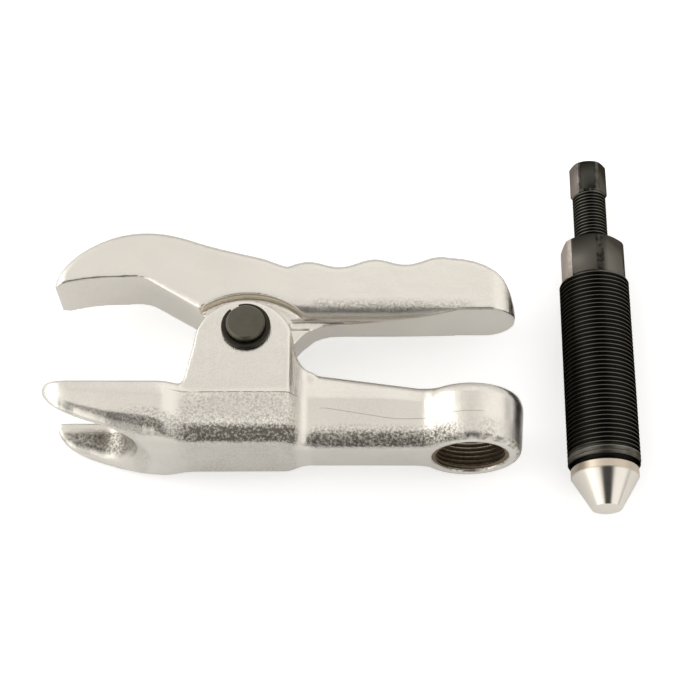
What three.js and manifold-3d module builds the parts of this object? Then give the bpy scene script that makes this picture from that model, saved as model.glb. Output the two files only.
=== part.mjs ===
// Ball joint separator: a forged fork with a threaded boss, a rocking lever on a cross pin,
// and a hydraulic pressure spindle that lies beside it, ready to be screwed into the boss.
//
// Millimetres, +Z up. The tool lies on its side: its cross pin stands upright on its rear end,
// X runs along the tool from the fork to the boss, and Y from the fork towards the lever.
// The spindle lies on its thread, with its cone towards -Y.

import * as THREE from 'three';
import { mergeVertices } from 'three/addons/utils/BufferGeometryUtils.js';
import Module from 'manifold-3d';

const wasm = await Module();
wasm.setup();

// Clearances
const runningGap = 0.3;            // between pieces that seat on or turn in each other
const threadGap = 0.3;             // between the spindle's thread crests and the boss's bore

// Cross pin and its snap rings
const pinRadius = 7.5;
const pinLength = 49;
const pinChamfer = 1;
const ringThickness = 1.5;
const ringWidth = 2.4;             // radial width of the flat snap ring
const ringGapCentre = 120;         // degrees, where the ring is open
const ringGapAngle = 22;
const grooveDepth = 0.7;

// Clevis: the two ears that carry the pin
const earSpan = 39;                // over the machined outer faces of both ears
const earHeadRadius = 19.3;
const earHeadCentre = { x: -0.8, y: -7 };
const earBevel = 0.8;
const earBaseLeft = -23.3;
const earBaseRight = 20.4;
const millingDepth = 0.4;

// Lever
const leverThickness = 24;
const leverEdgeRadius = 2.6;
const tongueThickness = 14;
const tongueHeadRadius = 18;
const recessRadius = 31.3;
const recessCentreY = -12.5;
const backWavePitch = 26.5;
const backWaveHeight = 1.5;
const backWaveStart = 23;          // x of the first crest on the lever's back
const padLevel = 12.2;             // y of the face that the spindle pushes on
const padStart = 84;
const bellyLevel = 9.6;             // y of the lever's belly before the pad
const bellyRadius = 6.3;            // rounding of the belly's edges, which ends at the pad
const leverEnd = 106.3;
const tailRounding = 12;           // length of the rounding of the lever's tail, seen on its back
const hookTipX = -78;
const hookCorner = { length: 6, width: 5 };      // rounding of the hook's tip, seen on its back

// Fork
const forkTipX = -76.8;
const forkTop = -23.7;
const forkHalfWidth = 23.5;
const forkSlotWidth = 33.6;
const forkSlotEnd = -46;           // x of the bottom of the slot
const forkSlotRound = 11;          // length of the slot's rounded end
const forkSlotDraft = 0.15;        // lean of its walls, per millimetre
const forkSlotEdge = 1.6;          // rounding of its upper edge
const tineFlare = { wide: 4.4, high: 5 };        // rounding of its lower edge along the tines
const crotchFlare = { wide: 10, high: 11.5 };    // and round its end
const noseRadius = 3.3;
const noseLength = 10;             // the tines' outer sides round off over this length
const noseNarrowing = 6;

// Forged beam that joins fork, clevis and boss
const partingY = -27.4;            // the dies met here, so the forging is widest
const machinedLineY = partingY;    // the milling of the ears stops here
const forgingDraft = 0.07;         // lean of the forged sides, per millimetre from the parting
const undersideY = -46.2;
const undersideRiseX = -33;        // the underside starts to rise towards the fork's tips here
const armHalfWidth = 13.4;
const armTopStart = -15;
const armTopEnd = -22;
const tineCorner = { deep: 2.4, high: 5 };       // rounding of the lower corners on the tines,
const blockCorner = { deep: 5, high: 8.4 };      // under the clevis
const armCorner = { deep: 5, high: 6 };          // and on the arm

// Boss with the spindle's thread
const bossX = 86.1;
const bossRadius = 21.3;
const bossTop = -22.8;
const bossEdgeRadius = 3.4;
const boreChamfer = 0.5;

// Spindle, measured along its own axis from the barrel's mouth
const barrelRadius = 14.2;
const barrelThreadLength = 81;
const barrelChamfer = 1.6;
const barrelHexAcrossFlats = 24;
const barrelHexLength = 18.6;
const barrelHexCorner = 13.2;      // radius of the round bar that the hexagon is milled from
const barrelHexTurn = 5;           // degrees
const spindleYaw = -1.2;           // degrees, as it lies beside the tool
const spindlePlace = { x: 139.1, y: -46.7 };

// Press ram
const ramHeadRadius = 13.2;
const ramCollar = 3.4;
const ramConeLength = 12.7;
const ramTipRadius = 5.9;
const ramTipDome = 1.3;            // height of the spherical cap at the cone's tip
const ramNeckRadius = 8.4;
const ramPistonRadius = 10;
const ramPistonLength = 12;
const retainerThickness = 1.2;
const retainerMouth = 2;           // from the barrel's mouth to the retainer
const retainerGrip = 1.2;          // depth of the retainer's groove

// Small high-pressure plunger and its seals
const plungerRadius = 5.5;
const plungerLength = 22;
const plungerStroke = 19.5;
const sealSection = 2;
const backupThickness = 1.2;
const guideWidth = 3;
const ballRadius = 3.4;

// Feed screw
const screwRadius = 6.93;
const screwEngaged = 28;           // length of thread inside the barrel at rest
const screwHexAcrossFlats = 14;
const screwHexCorner = 7.65;       // radius of the round bar that the hexagon is milled from
const screwNeck = 4.5;             // thread that stays outside when the screw is home
const screwHexLength = 14.5;
const screwHexTurn = 21;           // degrees

const cutReach = 60;               // tools and blanks reach this far past what they cut
const segments = 40;
const smallSegments = 28;
const deg = THREE.MathUtils.degToRad;

// Materials
function metal(color, roughness, metalness = 1) {
  return new THREE.MeshStandardMaterial({ color, roughness, metalness });
}

const nickelForging = metal(0xc9c3b8, 0.42);
const blackOxide = metal(0x2b2926, 0.5, 0.8);
const brownedSteel = metal(0x5f554b, 0.45, 0.9);
const groundSteel = metal(0xd4d2ce, 0.18);
const turnedSteel = metal(0x9a958d, 0.3);
const sealRubber = metal(0x161616, 0.8, 0);
const sealPlastic = metal(0xe9e6dc, 0.5, 0);

// Solids

// Merges shared corners, drops flat triangles and turns the faces outwards.
function closed(geometry) {
  const bare = geometry.clone();
  bare.deleteAttribute('normal');
  bare.deleteAttribute('uv');
  const merged = mergeVertices(bare, 1e-4);
  const position = merged.attributes.position;
  const index = [];
  const corner = [new THREE.Vector3(), new THREE.Vector3(), new THREE.Vector3()];
  let volume = 0;
  for (let i = 0; i < merged.index.count; i += 3) {
    const triangle = [0, 1, 2].map((k) => merged.index.getX(i + k));
    const [a, b, c] = triangle;
    if (a !== b && b !== c && c !== a) {
      triangle.forEach((vertex, k) => corner[k].fromBufferAttribute(position, vertex));
      volume += corner[0].dot(corner[1].clone().cross(corner[2]));
      index.push(a, b, c);
    }
  }
  if (volume < 0) index.reverse();
  merged.setIndex(index);
  return merged;
}

function solidOf(geometry) {
  const { attributes, index } = closed(geometry);
  return new wasm.Manifold(new wasm.Mesh({
    numProp: 3,
    vertProperties: new Float32Array(attributes.position.array),
    triVerts: new Uint32Array(index.array),
  }));
}

function geometryOf(solid) {
  const { vertProperties, triVerts } = solid.getMesh();
  const geometry = new THREE.BufferGeometry();
  geometry.setAttribute('position', new THREE.BufferAttribute(vertProperties, 3));
  geometry.setIndex(new THREE.BufferAttribute(triVerts, 1));
  return geometry;
}

function cut(geometry, ...cutters) {
  const solid = cutters.reduce((body, cutter) => body.subtract(solidOf(cutter)), solidOf(geometry));
  return geometryOf(solid);
}

function join(...geometries) {
  return geometryOf(geometries.map(solidOf).reduce((body, piece) => body.add(piece)));
}

function common(first, second) {
  return geometryOf(solidOf(first).intersect(solidOf(second)));
}

// A profile of [radius, y] pairs revolved round the Y axis.
function revolve(profile, steps = segments) {
  return closed(new THREE.LatheGeometry(profile.map(([r, y]) => new THREE.Vector2(r, y)), steps));
}

// A ring of rectangular section round the Y axis.
function collar(inner, outer, low, high) {
  const section = [[inner, low], [outer, low], [outer, high], [inner, high], [inner, low]];
  return revolve(section, smallSegments);
}

// An XY shape extruded along Z from low to high, with edges rounded inside its outline.
function extrude(shape, low, high, edge = 0, curveSegments = 12) {
  const geometry = new THREE.ExtrudeGeometry(shape, {
    depth: high - low - 2 * edge,
    bevelEnabled: edge > 0,
    bevelThickness: edge,
    bevelSize: edge,
    bevelOffset: -edge,
    bevelSegments: 3,
    curveSegments,
  });
  return geometry.translate(0, 0, low + edge);
}

function block(low, high) {
  const size = high.map((value, i) => value - low[i]);
  const centre = high.map((value, i) => (value + low[i]) / 2);
  return new THREE.BoxGeometry(...size).translate(...centre);
}

// A hexagon milled on a round bar along Y, with both ends chamfered.
function hexBar(acrossFlats, barRadius, low, high, turn) {
  const circumradius = acrossFlats / Math.sqrt(3);
  const shape = new THREE.Shape();
  for (let i = 0; i < 6; i += 1) {
    const angle = deg(turn + 60 * i);
    const point = [circumradius * Math.sin(angle), -circumradius * Math.cos(angle)];
    if (i === 0) shape.moveTo(...point);
    else shape.lineTo(...point);
  }
  const prism = extrude(shape, low, high).rotateX(-Math.PI / 2);
  const chamfer = barRadius - acrossFlats / 2 + 0.6;
  const drop = chamfer * Math.tan(deg(30));
  const bar = revolve([
    [0, low],
    [barRadius - chamfer, low],
    [barRadius, low + drop],
    [barRadius, high - drop],
    [barRadius - chamfer, high],
    [0, high],
  ], 72);
  return common(prism, bar);
}

// Rings of points, each with as many as the next, skinned into a closed body. The first and
// last ring are filled, seen along the axis that flat() drops.
function loft(rings, flat) {
  const count = rings[0].length;
  const positions = rings.flat().flatMap((p) => [p.x, p.y, p.z]);
  const index = [];
  for (let k = 0; k + 1 < rings.length; k += 1) {
    for (let i = 0; i < count; i += 1) {
      const next = (i + 1) % count;
      const a = k * count + i;
      const b = k * count + next;
      index.push(a, b, a + count, b, b + count, a + count);
    }
  }
  [0, rings.length - 1].forEach((k) => {
    const outline = rings[k].map(flat);
    const clockwise = THREE.ShapeUtils.isClockWise(outline);
    THREE.ShapeUtils.triangulateShape(outline, []).forEach((face) => {
      const turnsAlike = THREE.ShapeUtils.isClockWise(face.map((i) => outline[i])) === clockwise;
      const [a, b, c] = face.map((i) => k * count + i);
      if (turnsAlike === (k === 0)) index.push(a, c, b);
      else index.push(a, b, c);
    });
  });
  const geometry = new THREE.BufferGeometry();
  geometry.setAttribute('position', new THREE.Float32BufferAttribute(positions, 3));
  geometry.setIndex(index);
  return geometry;
}

// Forged body

const earHalf = earSpan / 2;
const forgedHalf = earHalf + millingDepth;
const headClearance = tongueHeadRadius + 1.2;
const slotShelf = -12.5;
const smooth = (x, from, to) => THREE.MathUtils.smoothstep(x, from, to);
const mix = THREE.MathUtils.lerp;

const forkUnderside = new THREE.CubicBezierCurve(
  new THREE.Vector2(undersideRiseX, undersideY),
  new THREE.Vector2(-47.1, undersideY + 0.7),
  new THREE.Vector2(forkTipX + 1.9, -37.3),
  new THREE.Vector2(forkTipX, forkTop - noseRadius - 0.7),
);

// Height of the forging's underside at a given x.
function undersideAt(x) {
  if (x >= undersideRiseX) return undersideY;
  if (x <= forkTipX) return forkUnderside.v3.y;
  let low = 0;
  let high = 1;
  for (let i = 0; i < 30; i += 1) {
    const t = (low + high) / 2;
    if (forkUnderside.getPoint(t).x > x) low = t;
    else high = t;
  }
  return forkUnderside.getPoint(low).y;
}

// Height of the forging's back at a given x, without the ears.
function backAt(x) {
  if (x > earBaseRight) {
    const along = (x - earBaseRight) / (bossX - 16 - earBaseRight);
    return Math.max(mix(armTopStart, armTopEnd, along), bossTop - 0.4);
  }
  const ahead = Math.max(0, forkTipX + noseRadius - x);
  const drop = noseRadius - Math.sqrt(Math.max(0, noseRadius ** 2 - ahead ** 2));
  return mix(forkTop - drop, armTopStart, smooth(x, earBaseLeft, earBaseRight));
}

// Half the forging's width at a given x: fork, clevis block, arm, then a flare into the boss.
function halfWidthAt(x) {
  const ahead = Math.min(1, Math.max(0, 1 - (x - forkTipX) / noseLength));
  const nose = noseNarrowing * (1 - Math.sqrt(1 - ahead ** 2));
  const block = mix(forkHalfWidth - nose, forgedHalf, smooth(x, earBaseLeft - 9, earBaseLeft + 2));
  const arm = mix(block, armHalfWidth, smooth(x, earBaseRight - 5.5, earBaseRight + 3.5));
  return arm + 4.5 * smooth(x, bossX - 21, bossX - 9) ** 1.5;
}

// The forging's section in the YZ plane at x: widest at the parting, with four rounded corners.
function forgedSection(x) {
  const half = halfWidthAt(x);
  const top = backAt(x);
  const bottom = undersideAt(x);
  const height = top - bottom;
  const parting = Math.min(top - 0.3 * height, Math.max(bottom + 0.55 * height, partingY));
  const topHalf = half - forgingDraft * (top - parting);
  const bottomHalf = half - forgingDraft * (parting - bottom);
  const topRadius = Math.min(1.2 + 2.6 * smooth(x, earBaseRight, earBaseRight + 8), 0.28 * height);
  const behind = smooth(x, forkSlotEnd - 10, earBaseLeft - 9);
  const ahead = smooth(x, earBaseRight - 5, earBaseRight + 3);
  const wanted = mix(mix(tineCorner.high, blockCorner.high, behind), armCorner.high, ahead);
  const cornerHeight = Math.min(wanted, 0.5 * height);
  const cornerDepth = mix(mix(tineCorner.deep, blockCorner.deep, behind), armCorner.deep, ahead);
  const steps = 5;
  const corner = (y, z, high, deep, start) => Array.from({ length: steps + 1 }, (_, i) => {
    const angle = deg(start - (90 * i) / steps);
    return new THREE.Vector3(x, y + high * Math.cos(angle), z + deep * Math.sin(angle));
  });
  const low = bottom + cornerHeight;
  const high = top - topRadius;
  return [
    ...corner(low, -bottomHalf + cornerDepth, cornerHeight, cornerDepth, 270),
    ...corner(low, bottomHalf - cornerDepth, cornerHeight, cornerDepth, 180),
    new THREE.Vector3(x, parting, half),
    ...corner(high, topHalf - topRadius, topRadius, topRadius, 90),
    ...corner(high, -topHalf + topRadius, topRadius, topRadius, 0),
    new THREE.Vector3(x, parting, -half),
  ];
}

function forgedBeam() {
  const stations = [0, 0.15, 0.5, 1.1, 2, 3.3, 5, 7.4, 10, 15, 21, 27, 33, 39, 43].map((d) => forkTipX + d);
  const joints = [-9, -7, -5, -3, -1, 2].map((d) => earBaseLeft + d);
  const waist = [-20, -5.5, -4, -2, 0, 2, 3.5, 8].map((d) => earBaseRight + d);
  const flare = [-34, -21, -18, -15, -12, -9, 0].map((d) => bossX + d);
  return loft([...stations, ...joints, ...waist, ...flare].map(forgedSection),
    ({ y, z }) => new THREE.Vector2(y, z));
}

function earShape() {
  const { x, y } = earHeadCentre;
  const shape = new THREE.Shape();
  shape.moveTo(earBaseLeft - 0.6, machinedLineY - 1.5);
  shape.lineTo(earBaseRight - 2, machinedLineY - 1.5);
  shape.lineTo(earBaseRight + 6.5, armTopStart - 3);
  shape.lineTo(earBaseRight + 6.1, armTopStart - 1);
  shape.quadraticCurveTo(earBaseRight + 1.2, armTopStart + 0.4, earBaseRight - 0.4, -11.5);
  shape.lineTo(x + earHeadRadius, y);
  shape.absarc(x, y, earHeadRadius, 0, Math.PI, false);
  shape.lineTo(earBaseLeft + 0.3, forkTop + 3);
  shape.quadraticCurveTo(earBaseLeft - 0.1, forkTop, earBaseLeft - 3, forkTop - 0.4);
  shape.lineTo(earBaseLeft - 3, forkTop - 3);
  return shape;
}

// The forging seen from the fork's side, to narrow the ears where they run into the arm.
function planOutline() {
  const from = earBaseLeft - 9;
  const to = earBaseRight + 10;
  const steps = 16;
  const side = Array.from({ length: steps + 1 }, (_, i) => {
    const x = mix(to - 13, to, i / steps);
    return [x, halfWidthAt(x) - 0.6];
  });
  const half = [[from, forkHalfWidth], [to - 14, forkHalfWidth], ...side];
  const shape = new THREE.Shape();
  shape.moveTo(from, -forkHalfWidth);
  half.slice(1).forEach(([x, z]) => shape.lineTo(x, -z));
  half.reverse().forEach(([x, z]) => shape.lineTo(x, z));
  return extrude(shape, -cutReach, cutReach).rotateX(Math.PI / 2);
}

function boss() {
  const e = bossEdgeRadius;
  const low = bossRadius - forgingDraft * (partingY - undersideY) - e;
  const high = bossRadius - forgingDraft * (bossTop - partingY) - e;
  const arc = (cx, cy, from) => [0, 1, 2, 3, 4].map((i) => {
    const angle = deg(from + 22.5 * i);
    return [cx + e * Math.cos(angle), cy + e * Math.sin(angle)];
  });
  const profile = [
    [0, undersideY],
    ...arc(low, undersideY + e, -90),
    [bossRadius, partingY],
    ...arc(high, bossTop - e, 0),
    [0, bossTop],
  ];
  return revolve(profile, 60).translate(bossX, 0, 0);
}

function bossBore() {
  const r = barrelRadius + threadGap;
  const mouth = r + boreChamfer;
  const past = 5;
  return revolve([
    [0, undersideY - past],
    [mouth, undersideY - past],
    [mouth, undersideY],
    [r, undersideY + boreChamfer],
    [r, bossTop - boreChamfer],
    [mouth, bossTop],
    [mouth, bossTop + past],
    [0, bossTop + past],
  ], 60).translate(bossX, 0, 0);
}

// Outline of the fork's slot, seen square to the fork, grown by grow(x) at heights given by level(x).
function slotRing(grow, level) {
  const half = forkSlotWidth / 2;
  const centre = forkSlotEnd - forkSlotRound;
  const straight = [forkTipX - 10, ...[0.2, 1, 2.5, 5, 9, 14].map((d) => forkTipX + d), centre - 1];
  const ring = straight.map((x) => new THREE.Vector3(x, level(x), half + grow(x)));
  const steps = 14;
  for (let i = 0; i <= steps; i += 1) {
    const angle = Math.PI / 2 - (Math.PI * i) / steps;
    const more = grow(centre + forkSlotRound * Math.cos(angle));
    const x = centre + (forkSlotRound + more) * Math.cos(angle);
    ring.push(new THREE.Vector3(x, level(x), (half + more) * Math.sin(angle)));
  }
  return [...ring, ...straight.reverse().map((x) => new THREE.Vector3(x, level(x), -half - grow(x)))];
}

// The slot between the tines. Its sides lean out with the draft, and its lower edge is rounded
// along the curved underside.
function forkSlot() {
  const turn = (x) => smooth(x, forkSlotEnd - forkSlotRound, forkSlotEnd);
  const flare = (x) => mix(tineFlare.wide, crotchFlare.wide, turn(x));
  const rise = (x) => mix(tineFlare.high, crotchFlare.high, turn(x));
  const side = (x) => forkSlotDraft * (forkTop - undersideAt(x) - rise(x));
  const rings = [slotRing((x) => side(x) + flare(x), () => undersideY - 6)];
  [0, 22, 45, 68, 90].forEach((angle) => {
    const out = 1 - Math.sin(deg(angle));
    const up = 1 - Math.cos(deg(angle));
    rings.push(slotRing((x) => side(x) + flare(x) * out, (x) => undersideAt(x) + rise(x) * up));
  });
  [0, 30, 60, 90].forEach((angle) => {
    const out = forkSlotEdge * (1 - Math.cos(deg(angle)));
    rings.push(slotRing(() => out, () => forkTop - forkSlotEdge * (1 - Math.sin(deg(angle)))));
  });
  rings.push(slotRing(() => forkSlotEdge, () => forkTop + cutReach));
  return loft(rings, ({ x, z }) => new THREE.Vector2(x, z));
}

// The gap between the ears: its floor follows the lever's round head.
function tongueSlot() {
  const half = tongueThickness / 2 + runningGap;
  const head = new THREE.CylinderGeometry(headClearance, headClearance, 2 * half, segments);
  const gate = block([-cutReach, slotShelf, -half], [cutReach, cutReach, half]);
  return join(head.rotateX(Math.PI / 2), gate);
}

function pinHole(radius, reach) {
  return new THREE.CylinderGeometry(radius, radius, 2 * reach, segments).rotateX(Math.PI / 2);
}

function millingCutters() {
  const near = [earBaseLeft - 1.5, machinedLineY, earHalf];
  const far = [earBaseRight + 1, 30, earHalf + 10];
  const front = block(near, far);
  return [front, front.clone().scale(1, 1, -1)];
}

function lowerBody() {
  const ears = common(extrude(earShape(), -earHalf, earHalf, earBevel, 12), planOutline());
  const forging = join(forgedBeam(), ears, boss());
  const pinClear = pinRadius + runningGap;
  return cut(forging, forkSlot(), tongueSlot(), pinHole(pinClear, cutReach), bossBore(),
    ...millingCutters());
}

// Lever

// The lever's back has three soft finger crests that grow towards its end.
function backHeight(x) {
  const rise = mix(33.1, 35.4, (x - backWaveStart) / (2 * backWavePitch));
  return rise + backWaveHeight * Math.cos((2 * Math.PI * (x - backWaveStart)) / backWavePitch);
}

function leverShape() {
  const r = tongueHeadRadius;
  const shape = new THREE.Shape();
  // Jaw finger, from its nose over the hook's back to the first crest
  shape.moveTo(-75.8, 16.5);
  shape.bezierCurveTo(-81, 24.5, -73.5, 37, -60, 43.6);
  shape.bezierCurveTo(-50.5, 48.7, -38, 49.5, -25, 44.8);
  shape.bezierCurveTo(-13, 40.2, -3, 38.4, 6, 35.8);
  shape.quadraticCurveTo(11, 33.6, backWaveStart - 8, backHeight(backWaveStart - 8));
  // Scalloped back
  const waveEnd = backWaveStart + 2.15 * backWavePitch;
  const waves = 26;
  for (let i = 1; i <= waves; i += 1) {
    const x = mix(backWaveStart - 8, waveEnd, i / waves);
    shape.lineTo(x, backHeight(x));
  }
  // Rounded end down to the pressure pad
  shape.bezierCurveTo(94, 35.8, leverEnd - 0.5, 30, leverEnd, padLevel - leverEdgeRadius);
  // Belly, then round the head that turns in the clevis
  shape.lineTo(padStart - 24, bellyLevel);
  shape.lineTo(34, bellyLevel - 1.3);
  shape.quadraticCurveTo(24, 7.6, r * Math.cos(deg(-5)), r * Math.sin(deg(-5)));
  shape.absarc(0, 0, r, deg(-5), deg(146.5 - 360), true);
  // Underside of the hook
  shape.lineTo(-39, 23.2);
  shape.quadraticCurveTo(-44, 25.9, -52, 21);
  return shape;
}

// What the machining of the jaw takes off below the hook's finger.
function jawCutter() {
  const shape = new THREE.Shape();
  shape.moveTo(-16.5, 10.7);
  shape.lineTo(-39.5, 25.1);
  shape.quadraticCurveTo(-42.8, 27, -49, 26.5);
  shape.quadraticCurveTo(-66, 26.4, -75.6, 23.1);
  shape.lineTo(-82, 20.7);
  shape.lineTo(-82, 5);
  shape.lineTo(-20, 2);
  const reach = leverThickness;
  return extrude(shape, -reach, reach);
}

// The face that the cone pushes on is machined flat and runs out onto the belly.
function padCutter() {
  const shape = new THREE.Shape();
  shape.moveTo(padStart - 24, bellyLevel - 0.05);
  shape.quadraticCurveTo(padStart - 11, bellyLevel + 0.9, padStart, padLevel);
  shape.lineTo(leverEnd + 5, padLevel);
  shape.lineTo(leverEnd + 5, padLevel - 12);
  shape.lineTo(padStart - 24, padLevel - 12);
  return extrude(shape, -leverThickness, leverThickness, 0, 6);
}

// The belly's long edges have a large rounding that fades out at the pad.
function bellyCutter(side) {
  const half = leverThickness / 2;
  const steps = 6;
  const section = (x) => {
    const run = smooth(x, 58, padStart + 6);
    const r = mix(bellyRadius, 0.8, run);
    const level = mix(bellyLevel, padLevel, run) - 0.15;
    const arc = Array.from({ length: steps + 1 }, (_, i) => {
      const angle = deg((90 * i) / steps);
      return [level + r - r * Math.sin(angle), half - r + r * Math.cos(angle)];
    });
    const outside = [[level - 4, half - r], [level - 4, half + 3], [level + r, half + 3]];
    return [...arc, ...outside].map(([y, z]) => new THREE.Vector3(x, y, z));
  };
  const stations = [tongueHeadRadius - 2, 58, 64, 70, 76, 82, padStart + 6];
  const corner = loft(stations.map(section), ({ y, z }) => new THREE.Vector2(y, z));
  return side > 0 ? corner : closed(corner.scale(1, 1, -1));
}

// The lever seen on its back, with a rounded tail and rounded corners at the hook's tip.
function leverPlan() {
  const half = leverThickness / 2 + 0.15;
  const { length, width } = hookCorner;
  const low = half - width;
  const shape = new THREE.Shape();
  shape.absellipse(leverEnd - tailRounding, 0, tailRounding, half, -Math.PI / 2, Math.PI / 2);
  shape.absellipse(hookTipX + length, low, length, width, Math.PI / 2, Math.PI);
  shape.absellipse(hookTipX + length, -low, length, width, Math.PI, 1.5 * Math.PI);
  return extrude(shape, -cutReach, cutReach, 0, 12).rotateX(Math.PI / 2);
}

// The pockets in the lever's sides that take the ears.
function earPocket(side) {
  const low = tongueThickness / 2;
  const disc = new THREE.CylinderGeometry(recessRadius, recessRadius, leverThickness, 96);
  return disc.rotateX(Math.PI / 2).translate(0, recessCentreY, side * (low + leverThickness / 2));
}

function lever() {
  const half = leverThickness / 2;
  const blank = common(extrude(leverShape(), -half, half, leverEdgeRadius, 8), leverPlan());
  return cut(blank, jawCutter(), padCutter(), bellyCutter(1), bellyCutter(-1), earPocket(1),
    earPocket(-1), pinHole(pinRadius + runningGap, cutReach));
}

// Cross pin and snap rings

function crossPin() {
  const end = pinLength / 2;
  const low = earHalf;
  const high = earHalf + ringThickness + 2 * runningGap;
  const neck = pinRadius - grooveDepth;
  const half = [
    [pinRadius, low], [neck, low], [neck, high], [pinRadius, high],
    [pinRadius, end - pinChamfer], [pinRadius - pinChamfer, end], [0, end],
  ];
  const mirrored = half.map(([r, y]) => [r, -y]).reverse();
  return revolve([...mirrored, ...half]).rotateX(Math.PI / 2);
}

function snapRing(side) {
  const inner = pinRadius - grooveDepth + runningGap;
  const outer = inner + ringWidth;
  const from = deg(ringGapCentre + ringGapAngle / 2);
  const to = deg(ringGapCentre - ringGapAngle / 2 + 360);
  const shape = new THREE.Shape();
  shape.absarc(0, 0, outer, from, to, false);
  shape.absarc(0, 0, inner, to, from, true);
  const low = earHalf + runningGap;
  const ring = extrude(shape, low, low + ringThickness, 0, 14);
  return side > 0 ? ring : closed(ring.scale(1, 1, -1));
}

// Spindle pieces, along Y from the barrel's mouth at 0; the cone points to -Y

const retainerLow = retainerMouth;
const retainerHigh = retainerLow + retainerThickness;
const ramStroke = plungerStroke * (plungerRadius / ramPistonRadius) ** 2;
const pistonLow = retainerHigh + runningGap + ramStroke;
const pistonHigh = pistonLow + ramPistonLength;
const ramBoreEnd = pistonHigh + 1.5;
const ramBoreRadius = ramPistonRadius + runningGap;
const plungerBoreRadius = plungerRadius + runningGap;
const barrelEnd = barrelThreadLength + barrelHexLength;
const screwInnerEnd = barrelEnd - screwEngaged;
const plungerHigh = screwInnerEnd - 2 * ballRadius + 1.2;
const plungerLow = plungerHigh - plungerLength;
const screwBoreEnd = screwInnerEnd - plungerStroke - 1.6;
const screwHexLow = barrelEnd + plungerStroke + screwNeck + 2 * runningGap;

function barrel() {
  const r = barrelRadius;
  const sleeve = revolve([
    [0, 0], [r - barrelChamfer, 0], [r, barrelChamfer], [r, barrelThreadLength],
    [r - 1, barrelThreadLength + 0.8], [0, barrelThreadLength + 0.8],
  ], 64);
  const hex = hexBar(barrelHexAcrossFlats, barrelHexCorner, barrelThreadLength + 0.3, barrelEnd, barrelHexTurn);
  const grooveRadius = ramBoreRadius + retainerGrip;
  const screwBore = screwRadius + runningGap;
  const cavity = revolve([
    [0, -1], [ramBoreRadius + 1, -1], [ramBoreRadius + 1, 0], [ramBoreRadius, 1],
    [ramBoreRadius, retainerLow - runningGap], [grooveRadius, retainerLow - runningGap],
    [grooveRadius, retainerHigh + runningGap], [ramBoreRadius, retainerHigh + runningGap],
    [ramBoreRadius, ramBoreEnd], [plungerBoreRadius, ramBoreEnd + 2.5],
    [plungerBoreRadius, screwBoreEnd], [screwBore, screwBoreEnd + 0.8],
    [screwBore, barrelEnd - 1], [screwBore + 1, barrelEnd], [screwBore + 1, barrelEnd + 1],
    [0, barrelEnd + 1],
  ]);
  return cut(join(sleeve, hex), cavity);
}

// Gland grooves are as deep as the seal's section less the squeeze that holds it.
function ramPress() {
  const head = -runningGap;
  const collarEnd = head - ramCollar;
  const coneEnd = collarEnd - ramConeLength;
  const capRadius = (ramTipRadius ** 2 + ramTipDome ** 2) / (2 * ramTipDome);
  const capAngle = Math.asin(ramTipRadius / capRadius);
  const dome = [0, 0.25, 0.5, 0.75, 1].map((t) => {
    const angle = t * capAngle;
    const drop = capRadius * (1 - Math.cos(angle));
    return [capRadius * Math.sin(angle), coneEnd - ramTipDome + drop];
  });
  const grooves = ramGrooves().flatMap(({ low, high, floor }) => [
    [ramPistonRadius, low], [floor, low], [floor, high], [ramPistonRadius, high],
  ]);
  return revolve([
    ...dome, [ramHeadRadius, collarEnd], [ramHeadRadius, head - 0.5], [ramHeadRadius - 0.5, head],
    [ramNeckRadius, head], [ramNeckRadius, pistonLow], [ramPistonRadius - 0.4, pistonLow],
    [ramPistonRadius, pistonLow + 0.4], ...grooves,
    [ramPistonRadius, pistonHigh - 0.8], [ramPistonRadius - 0.8, pistonHigh], [0, pistonHigh],
  ]);
}

function ramGrooves() {
  const guide = pistonLow + 1.2;
  const guideHigh = guide + guideWidth + 2 * runningGap;
  const seal = guideHigh + 1.2;
  const sealHigh = seal + sealSection + backupThickness + 3 * runningGap;
  return [
    { low: guide, high: guideHigh, floor: ramPistonRadius - 1.5 },
    { low: seal, high: sealHigh, floor: ramPistonRadius - sealSection },
  ];
}

function ramGuideRing() {
  const { low, high, floor } = ramGrooves()[0];
  return collar(floor + runningGap, ramPistonRadius, low + runningGap, high - runningGap);
}

// The backup ring lies on the low-pressure side, the seal on the oil's side.
function ramBackupRing() {
  const { low, floor } = ramGrooves()[1];
  return collar(floor + runningGap, ramPistonRadius, low + runningGap, low + runningGap + backupThickness);
}

function ringSeal(inner, outer, high, section) {
  const middle = (inner + outer) / 2;
  const half = (outer - inner) / 2;
  const sides = 8;
  const points = Array.from({ length: sides + 1 }, (_, i) => {
    const angle = (i % sides) * deg(360 / sides);
    return [middle + half * Math.cos(angle), high - section / 2 + (section / 2) * Math.sin(angle)];
  });
  return revolve(points, smallSegments);
}

function ramSeal() {
  const { high, floor } = ramGrooves()[1];
  return ringSeal(floor + runningGap, ramPistonRadius, high - runningGap, sealSection);
}

// A snap ring in the barrel's mouth that keeps the ram in; it is open at one side.
function ramRetainer() {
  const inner = ramNeckRadius + runningGap;
  const outer = ramBoreRadius + retainerGrip - runningGap;
  const gap = deg(ringGapAngle);
  const shape = new THREE.Shape();
  shape.absarc(0, 0, outer, gap / 2, 2 * Math.PI - gap / 2, false);
  shape.absarc(0, 0, inner, 2 * Math.PI - gap / 2, gap / 2, true);
  return extrude(shape, -retainerHigh, -retainerLow, 0, 14).rotateX(Math.PI / 2);
}

function plungerGroove() {
  const low = plungerLow + 2;
  const high = low + sealSection + backupThickness + 3 * runningGap;
  return { low, high, floor: plungerRadius - sealSection };
}

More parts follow.
